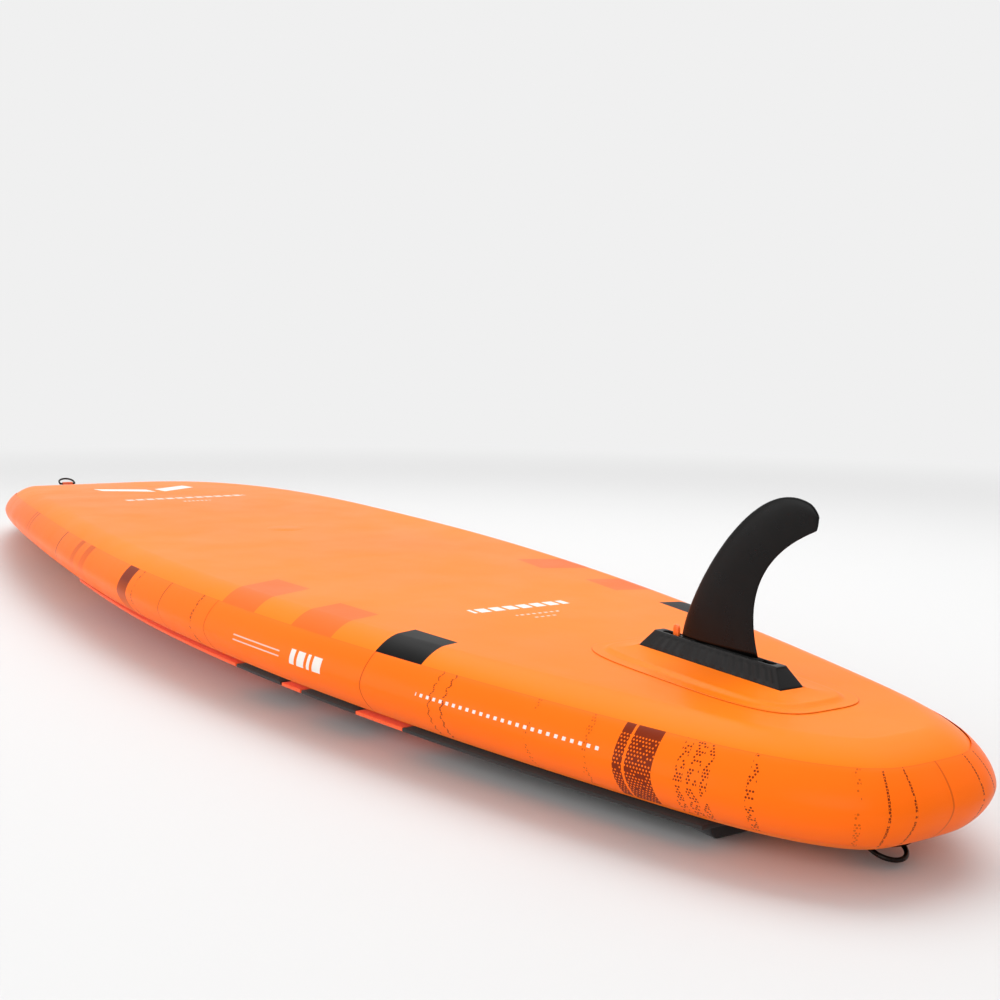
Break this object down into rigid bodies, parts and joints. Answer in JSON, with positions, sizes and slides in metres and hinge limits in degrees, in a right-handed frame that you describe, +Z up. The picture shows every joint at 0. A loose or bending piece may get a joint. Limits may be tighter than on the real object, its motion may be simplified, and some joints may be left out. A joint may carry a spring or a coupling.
{
  "type": "inflatable stand up paddleboard",
  "caption": "Inflatable touring paddleboard shown hull up: drop-stitch body with taped rails, slot-in fin with thumb screw, deck pad, carry handle, valve, leash and tow rings.",
  "frame": {"origin": "mid-length on the centreline, at the height of the lowest point (deck side of the nose) as the board lies deck down", "axes": "+X from nose to tail, +Z up out of the hull, Y across"},
  "size_m": [3.0471, 0.711, 0.3849],
  "materials": {
    "pvc_hull": "satin coated drop-stitch sheet, orange",
    "pvc_tape": "satin PVC tape, deep orange with printed bars",
    "thread": "polyester yarn",
    "inner_tape": "PVC tape, unprinted",
    "patch": "satin PVC patch",
    "black_patch": "satin PVC patch, black",
    "box_plastic": "moulded, fine texture",
    "fin_plastic": "satin moulded nylon",
    "brass": "turned",
    "stainless": "passivated stainless",
    "orange_plastic": "moulded",
    "eva_orange": "grooved EVA foam",
    "eva_black": "grooved EVA foam",
    "webbing_black": "woven polyester webbing",
    "webbing_orange": "woven polyester webbing",
    "neoprene": "knit-faced neoprene",
    "valve_plastic": "moulded nylon",
    "valve_white": "moulded acetal",
    "seal_rubber": "moulded rubber",
    "seal_red": "moulded silicone",
    "black_steel": "black coated steel"
  },
  "bodies": {
    "board": {"hull_skin": "pvc_hull", "deck_skin": "pvc_hull", "drop_stitch_threads": "thread", "rail_tape_inner": "inner_tape", "rail_tape_nose": "pvc_tape", "rail_tape_mid_left": "pvc_tape", "rail_tape_mid_right": "pvc_tape", "rail_tape_tail": "pvc_tape", "fin_box_patch": "patch", "fin_box": "box_plastic", "deck_pad_front": "eva_orange", "deck_pad_blocks": "eva_black", "deck_pad_rear": "eva_black", "kick_pad": "eva_black", "handle_patches": "patch", "handle_webbing": "webbing_black", "valve_body": "valve_plastic", "valve_flange_gasket": "seal_rubber", "valve_nut": "valve_plastic", "valve_spring": "stainless", "leash_patch": "black_patch", "leash_webbing": "webbing_black", "tow_patch": "patch", "tow_webbing": "webbing_orange", "cargo_patches": "patch", "cargo_loops": "webbing_black", "cargo_cord": "webbing_black", "cargo_cord_lock": "valve_plastic"},
    "fin": {"fin": "fin_plastic", "fin_pin": "brass", "fin_plate_nut": "stainless"},
    "screw_washer": {"fin_screw_washer": "stainless"},
    "thumb_screw": {"fin_screw": "orange_plastic"},
    "handle": {"handle_grip": "neoprene"},
    "valve_plunger": {"valve_stem": "valve_white", "valve_poppet": "valve_plastic", "valve_seal": "seal_red"},
    "cap_tether": {"valve_cap_tether": "seal_rubber"},
    "cap": {"valve_cap": "valve_plastic", "valve_cap_gasket": "seal_rubber"},
    "leash_ring": {"leash_ring": "black_steel"},
    "tow_ring": {"tow_ring": "black_steel"}
  },
  "joints": [
    {"name": "fin_slide", "type": "slide", "parent": "board", "child": "fin", "axis": [1, 0, 0], "range_m": [-0.006, 0.016]},
    {"name": "screw_rise", "type": "slide", "parent": "fin", "child": "screw_washer", "axis": [0, 0, 1], "range_m": [0, 0.0035]},
    {"name": "screw_turn", "type": "hinge", "parent": "screw_washer", "child": "thumb_screw", "pos_m": [1.142, 0, 0.18457], "axis": [0, 0, 1], "range_deg": [0, 1800]},
    {"name": "handle_lift", "type": "slide", "parent": "board", "child": "handle", "axis": [0, 0, -1], "range_m": [0, 0.025], "deforming": ["handle_webbing"]},
    {"name": "valve_press", "type": "slide", "parent": "board", "child": "valve_plunger", "axis": [0, 0, 1], "range_m": [0, 0.005], "stiffness_N_per_m": 400, "springref_m": -0.004, "deforming": ["valve_spring"]},
    {"name": "cap_flip", "type": "hinge", "parent": "board", "child": "cap_tether", "pos_m": [1.38, -0.031, 0.07308], "axis": [-1, 0, 0], "range_deg": [0, 115]},
    {"name": "cap_twist", "type": "hinge", "parent": "cap_tether", "child": "cap", "pos_m": [1.38, 0, 0.08257], "axis": [0, 0, -1], "range_deg": [0, 90]},
    {"name": "leash_ring_swing", "type": "hinge", "parent": "board", "child": "leash_ring", "pos_m": [1.443, 0, 0.07677], "axis": [0, 1, 0], "range_deg": [-14, 151]},
    {"name": "tow_ring_swing", "type": "hinge", "parent": "board", "child": "tow_ring", "pos_m": [-1.43282, 0, 0.11204], "axis": [0, 1, 0], "range_deg": [-24, 138]}
  ],
  "couplings": [
    {"joint": "screw_turn", "follows": "screw_rise", "rad_per_m": 8976}
  ]
}
